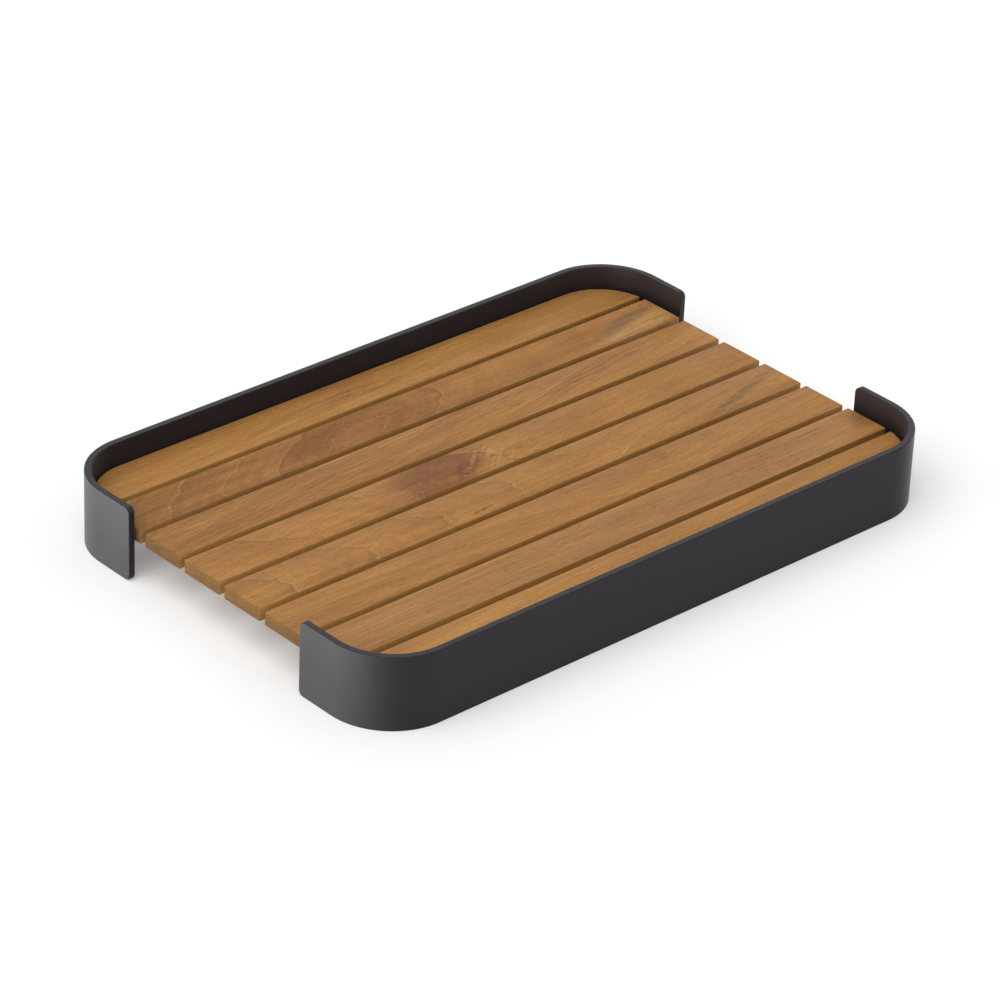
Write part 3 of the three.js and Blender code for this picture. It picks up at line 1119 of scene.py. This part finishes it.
# %% Drill the cross bars
BAR_EDGE_EASE = 0.5 * MM
BAR_EASE_ANGLE = math.radians(60)
BAR_EASE_STEPS = 3
HOLE_RADIUS = 2.35 * MM
SINK_RADIUS = 4.85 * MM
first_low, first_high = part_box("screw_middle_1")
next_low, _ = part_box("screw_middle_2")
screw_pitch = abs(next_low.y - first_low.y)

for name in BAR_NAMES:
    low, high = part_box("cross_bar_" + name)
    bar = new_piece("flat_bar_" + name)
    apply_recipe(bar, drilled_bar, {
        "Width": high.x - low.x, "Length": high.y - low.y, "Thickness": high.z - low.z,
        "Middle": (low + high) / 2, "Count": len(SLAT_NAMES), "Pitch": screw_pitch,
        "Hole Radius": HOLE_RADIUS, "Sink Radius": SINK_RADIUS, "Finish": coat})
    ease_edges(bar, BAR_EDGE_EASE, BAR_EASE_STEPS, BAR_EASE_ANGLE)
    plain(bar)
    bar.data.set_sharp_from_angle(angle=SHARP_ANGLE)
    hand_over(bar, "rail_coat", "cross_bar_" + name)

# %% [markdown]
# ## Under the deck: rings for a screw
# A screw is a turned body, so it can be built as rings of points along its axis, joined as the rails' rings
# are. The bit that drives it is a body of rings too, but its rings are crosses. So one helper makes both.

# %% Rings for a screw
SCREW_SIDES = 24
CROSS_REACH = 2.2 * MM
CROSS_WIDTH = 0.95 * MM


def mesh_of_rings(name, rings):
    """A closed mesh from rings of points, each joined to the next, with a cap at both ends."""
    body = bmesh.new()
    rings = [[body.verts.new(point) for point in ring] for ring in rings]
    join_rings(body, rings)
    body.faces.new(rings[0])
    body.faces.new(rings[-1])
    return keep_mesh(body, name)


def circle(radius, height):
    """A ring of the turned screw."""
    angles = [2 * math.pi * count / SCREW_SIDES for count in range(SCREW_SIDES)]
    return [(radius * math.cos(angle), radius * math.sin(angle), height) for angle in angles]


def cross(scale, height):
    """A ring of the driver's bit: four arms, each a quarter turn on from the last."""
    reach, width = CROSS_REACH * scale, CROSS_WIDTH / 2 * scale
    arm = [(reach, -width), (reach, width), (width, width)]
    points = []
    for _ in range(4):
        points += arm
        arm = [(-y, x) for x, y in arm]
    return [(x, y, height) for x, y in points]


print("screw rings of", SCREW_SIDES, "points, bit rings of", len(cross(1, 0)))

# %% [markdown]
# ## Under the deck: one screw
# One countersunk wood screw holds each slat on each bar. Its profile goes from the flat head down the cone to
# the shank and the point. The bit is taken away from the head by a Boolean modifier and leaves the cross, which
# is wider at its mouth. The thread is hidden in the wood, so it is left out.

# %% Turn the screw
HEAD_RADIUS = 4 * MM
HEAD_RIM = 0.5 * MM
HEAD_CHAMFER = 0.15 * MM
SHANK_RADIUS = 2 * MM
POINT_RADIUS = SHANK_RADIUS * 0.1
POINT_LENGTH = 3 * MM
CROSS_DEPTH = 1.5 * MM
CROSS_MOUTH = 1.1
CROSS_TAPER = 0.6
CROSS_CLEAR = 0.25 * MM
screw_length = first_high.z - first_low.z

profile = [(HEAD_RADIUS - HEAD_CHAMFER, 0), (HEAD_RADIUS, HEAD_CHAMFER), (HEAD_RADIUS, HEAD_RIM),
           (SHANK_RADIUS, HEAD_RIM + HEAD_RADIUS - SHANK_RADIUS), (SHANK_RADIUS, screw_length - POINT_LENGTH),
           (POINT_RADIUS, screw_length)]
one_screw = new_piece("one_screw", mesh_of_rings("one_screw", [circle(*point) for point in profile]))
bit = [cross(CROSS_MOUTH, -CROSS_CLEAR), cross(CROSS_TAPER, CROSS_DEPTH)]
driver = new_piece("driver_bit", mesh_of_rings("driver_bit", bit))
recess = one_screw.modifiers.new("cross recess", "BOOLEAN")
recess.object = driver
recess.operation = "DIFFERENCE"
recess.solver = "EXACT"
plain(one_screw)
one_screw.data.set_sharp_from_angle(angle=SHARP_ANGLE)
print("one screw:", len(one_screw.data.polygons), "faces")

# %% [markdown]
# ## Under the deck: rows of screws
# A recipe sets the one screw along each bar, once for every slat. Each is turned by a chance angle, since
# nobody lines up the slots. The seed is fixed, so they stay as they are. Copies set by hand would all have to
# be moved when the pitch changes, but instances on a row of points follow it.

# %% Set the screws in rows
def screw_row_recipe():
    """A recipe for a row of screws, each turned by chance."""
    tree, inputs, close = new_recipe("screw_row", {
        "Screw": "Object", "Count": "Int", "Pitch": "Float", "Middle": "Vector", "Seed": "Int",
        "Finish": "Material"})
    model = step(tree, "GeometryNodeObjectInfo", output="Geometry", Object=inputs["Screw"])
    chance = add_node(tree, "FunctionNodeRandomValue", data_type="FLOAT")
    chance.inputs[3].default_value = 2 * math.pi
    plug(tree, inputs["Seed"], chance.inputs["Seed"])
    turn = step(tree, "FunctionNodeEulerToRotation",
                Euler=vector(tree, 0.0, 0.0, Term(tree, chance.outputs[1])))
    row = step(tree, "GeometryNodeInstanceOnPoints", Points=row_of_points(tree, inputs), Instance=model,
               Rotation=turn)
    return close(step(tree, "GeometryNodeTransform", Geometry=row, Translation=inputs["Middle"]))


screw_row = screw_row_recipe()
for seed, name in enumerate(BAR_NAMES):
    low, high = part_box("cross_bar_" + name)
    row = new_piece("screw_row_" + name)
    apply_recipe(row, screw_row, {
        "Screw": one_screw, "Count": len(SLAT_NAMES), "Pitch": screw_pitch, "Seed": seed,
        "Middle": Vector(((low.x + high.x) / 2, 0, first_low.z)), "Finish": steel})
    plain(row)
    hand_over(row, "screw_steel", *[f"screw_{name}_{number}" for number in range(1, 9)])
for helper in (one_screw, driver):
    bpy.data.objects.remove(helper)

# %% [markdown]
# ## Under the deck: welds
# The bars are welded to the rails along their lower edges, and the coat goes over the welds. A bead is laid
# down drop by drop, so it is a rod that swells and narrows in even ripples and tapers at both ends. The recipe
# draws it once and sets it at the six joints.

# %% Lay the weld beads
BEAD_RADIUS = 2.2 * MM
BEAD_LENGTH = 26 * MM
BEAD_RIPPLES = 13
BEAD_POINTS = 105
BEAD_SIDES = 16
BEAD_SWELL = 0.16
BEAD_TAPER = 8.0
BEAD_TIP = 0.04


def weld_recipe():
    """A recipe for one bead, set at every joint of the bars and the rails."""
    tree, inputs, close = new_recipe("weld_beads", {
        "Length": "Float", "Radius": "Float", "Ripples": "Int", "Joints Along": "Float",
        "Joints Across": "Float", "Height": "Float", "Finish": "Material"})
    half = inputs["Length"] * 0.5
    line = step(tree, "GeometryNodeCurvePrimitiveLine", Start=vector(tree, half * -1.0, 0.0, 0.0),
                End=vector(tree, half, 0.0, 0.0))
    line = step(tree, "GeometryNodeResampleCurve", Curve=line, Count=BEAD_POINTS)
    share = step(tree, "GeometryNodeSplineParameter", output="Factor")
    drops = (share * inputs["Ripples"] * math.pi).math("SINE").math("ABSOLUTE")
    ripple = drops * BEAD_SWELL + (1 - BEAD_SWELL)
    off = share * 2.0 - 1.0
    taper = (1.0 - off.math("POWER", BEAD_TAPER)).math("MAXIMUM", BEAD_TIP).math("SQRT")
    rim = step(tree, "GeometryNodeCurvePrimitiveCircle", Resolution=BEAD_SIDES, Radius=inputs["Radius"])
    bead = step(tree, "GeometryNodeCurveToMesh", Curve=line, Profile_Curve=rim, Scale=ripple * taper,
                Fill_Caps=True)
    joints = step(tree, "GeometryNodeMeshGrid", Size_X=inputs["Joints Along"], Size_Y=inputs["Joints Across"],
                  Vertices_X=len(BAR_NAMES), Vertices_Y=2)
    joints = step(tree, "GeometryNodeTransform", Geometry=joints,
                  Translation=vector(tree, 0.0, 0.0, inputs["Height"]))
    return close(step(tree, "GeometryNodeInstanceOnPoints", Points=joints, Instance=bead))


weld_beads = weld_recipe()
left_low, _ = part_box("cross_bar_left")
right_low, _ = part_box("cross_bar_right")
beads = new_piece("weld_beads")
apply_recipe(beads, weld_beads, {
    "Length": BEAD_LENGTH, "Radius": BEAD_RADIUS, "Ripples": BEAD_RIPPLES,
    "Joints Along": right_low.x - left_low.x, "Joints Across": bar_high.y - bar_low.y,
    "Height": bar_low.z, "Finish": coat})
plain(beads)
smooth(beads.data)
hand_over(beads, "rail_coat")

# %% [markdown]
# ## Studio floor
# A plain pale floor. It is an ordinary matt surface, so it keeps the tray's shadow. For what the camera sees,
# and for what is mirrored in the coat, it gets a little glow on top, which lifts the lit part of it to white.
# From below it is clear, so that the underside can be looked at.

# %% Lay the floor
FLOOR_SIZE = 9.0
FLOOR_COLOUR = (0.8, 0.8, 0.8, 1.0)
FLOOR_GLOW = 0.22


def seen_rays(tree):
    """1 for rays from the camera, and for those mirrored or let through by a piece."""
    path = add_node(tree, "ShaderNodeLightPath")
    camera, glossy, through = (Term(tree, path.outputs[name]) for name in
                               ("Is Camera Ray", "Is Glossy Ray", "Is Transmission Ray"))
    return camera.math("MAXIMUM", glossy).math("MAXIMUM", through)


def floor_material():
    """A matt floor with its glow, clear from behind."""
    material = bpy.data.materials.new("pale_floor")
    material.use_nodes = True
    tree = material.node_tree
    tree.nodes.clear()
    matt = add_node(tree, "ShaderNodeBsdfDiffuse")
    matt.inputs["Color"].default_value = FLOOR_COLOUR
    glow = add_node(tree, "ShaderNodeEmission")
    plug(tree, seen_rays(tree) * FLOOR_GLOW, glow.inputs["Strength"])
    both = add_node(tree, "ShaderNodeAddShader")
    clear = add_node(tree, "ShaderNodeBsdfTransparent")
    side = add_node(tree, "ShaderNodeNewGeometry")
    choose = add_node(tree, "ShaderNodeMixShader")
    leave = add_node(tree, "ShaderNodeOutputMaterial")
    for source, target in (
            (matt.outputs[0], both.inputs[0]), (glow.outputs[0], both.inputs[1]),
            (side.outputs["Backfacing"], choose.inputs[0]), (both.outputs[0], choose.inputs[1]),
            (clear.outputs[0], choose.inputs[2]), (choose.outputs[0], leave.inputs["Surface"])):
        tree.links.new(source, target)
    return material


half = FLOOR_SIZE / 2
floor_corners = [(-half, -half, 0), (half, -half, 0), (half, half, 0), (-half, half, 0)]
floor_mesh = bpy.data.meshes.new("studio_floor")
floor_mesh.from_pydata(floor_corners, [], [(0, 1, 2, 3)])
floor_mesh.materials.append(floor_material())
floor = new_piece("studio_floor", floor_mesh)
print("floor:", FLOOR_SIZE, "m square")

# %% [markdown]
# ## Studio light
# Even light from all round, and one very broad soft light from above, a little to the left. A sun lamp with a
# wide angle is such a light: its shadows are as soft as those of a big tent of cloth. The world is white
# for what the camera sees, and dimmer for the light that it gives, so the picture's ground stays white.

# %% Light the studio
WORLD_LIGHT = 0.58
KEY_FROM = Vector((-0.52, -0.05, 0.85))
KEY_ANGLE = math.radians(70)
KEY_STRENGTH = 1.65
TRAY = Vector((0, 0, 0))

world = bpy.data.worlds.new("studio")
world.use_nodes = True
bpy.context.scene.world = world
sky = world.node_tree
sky_strength = seen_rays(sky) * (1 - WORLD_LIGHT) + WORLD_LIGHT
plug(sky, sky_strength, sky.nodes["Background"].inputs["Strength"])
sky.nodes["Background"].inputs["Color"].default_value = (1, 1, 1, 1)


def hang(name, lamp, place, target):
    """Put a lamp into the scene, shining at a target."""
    placed = bpy.data.objects.new(name, lamp)
    placed.location = place
    placed.rotation_euler = (target - place).to_track_quat("-Z", "Y").to_euler()
    bpy.context.scene.collection.objects.link(placed)
    return placed


sun = bpy.data.lights.new("soft_overhead", "SUN")
sun.energy = KEY_STRENGTH
sun.angle = KEY_ANGLE
hang("soft_overhead", sun, KEY_FROM, TRAY)
print("light from all round:", WORLD_LIGHT, "and from above:", KEY_STRENGTH)

# %% [markdown]
# ## Reflector cards
# A matt coat shows its shape by what it mirrors, so photographers stand pale cards round dark metal. Here they
# are lamps that light the two rails only: one on the floor at each side, one high up behind for the rails' top
# edges, and a warm strip at the deck's far end, which helps the wood's own glow on the rails' inner faces.
# Light linking keeps them off the wood, which needs no such help.

# %% Stand the cards
WHITE = (1.0, 1.0, 1.0)
WOOD_GLOW = (1.0, 0.6, 0.46)
UP = Vector((0, 0, 1))
deck_end = Vector((0.262, 0, deck_high.z + 1 * MM))
CARDS = {
    "left_card": (Vector((-1.15, 0.5, 0.012)), TRAY, (2.8, 0.02), 128.0, WHITE),
    "right_card": (Vector((1.15, 0.1, 0.05)), TRAY, (0.4, 0.09), 19.0, WHITE),
    "back_card": (Vector((1.1, 1.2, 0.95)), TRAY, (1.6, 0.5), 3.5, WHITE),
    "deck_card": (deck_end, deck_end + UP, (0.045, 0.34), 0.07, WOOD_GLOW),
}

lit_by_cards = bpy.data.collections.new("lit_by_cards")
for name in ("bent_rail_back", "bent_rail_front"):
    lit_by_cards.objects.link(bpy.data.objects[name])
for name, (place, target, size, power, colour) in CARDS.items():
    sheet = bpy.data.lights.new(name, "AREA")
    sheet.energy = power
    sheet.color = colour
    sheet.shape = "RECTANGLE"
    sheet.size, sheet.size_y = size
    card = hang(name, sheet, place, target)
    card.visible_diffuse = False
    card.visible_camera = False
    card.light_linking.receiver_collection = lit_by_cards
print("cards:", ", ".join(CARDS))

# %% [markdown]
# ## Camera
# A long lens a few metres off, worked out from the photograph: the tray's known corners, the boards' gaps and
# the rails' edges all fall where the photograph shows them. The camera was not held quite level.

# %% Place the camera
CAMERA_PLACE = Vector((-2.1357, -2.2831, 1.8240))
CAMERA_AZIMUTH = math.radians(-43.038)
CAMERA_ELEVATION = math.radians(30.067)
CAMERA_ROLL = math.radians(2.504)
CAMERA_LENS = 161.24
SENSOR_WIDTH = 36
level = math.cos(CAMERA_ELEVATION)
backwards = Vector((math.sin(CAMERA_AZIMUTH) * level, -math.cos(CAMERA_AZIMUTH) * level,
                    math.sin(CAMERA_ELEVATION)))
upright = (-backwards).to_track_quat("-Z", "Y")
view = bpy.data.cameras.new("photo_view")
view.lens = CAMERA_LENS
view.sensor_width = SENSOR_WIDTH
camera = bpy.data.objects.new("photo_view", view)
camera.location = CAMERA_PLACE
camera.rotation_mode = "QUATERNION"
camera.rotation_quaternion = upright @ Quaternion((0, 0, 1), CAMERA_ROLL)
bpy.context.scene.collection.objects.link(camera)
bpy.context.scene.camera = camera
bpy.context.scene.view_settings.view_transform = "Standard"
print("camera at", tuple(round(value, 3) for value in CAMERA_PLACE))
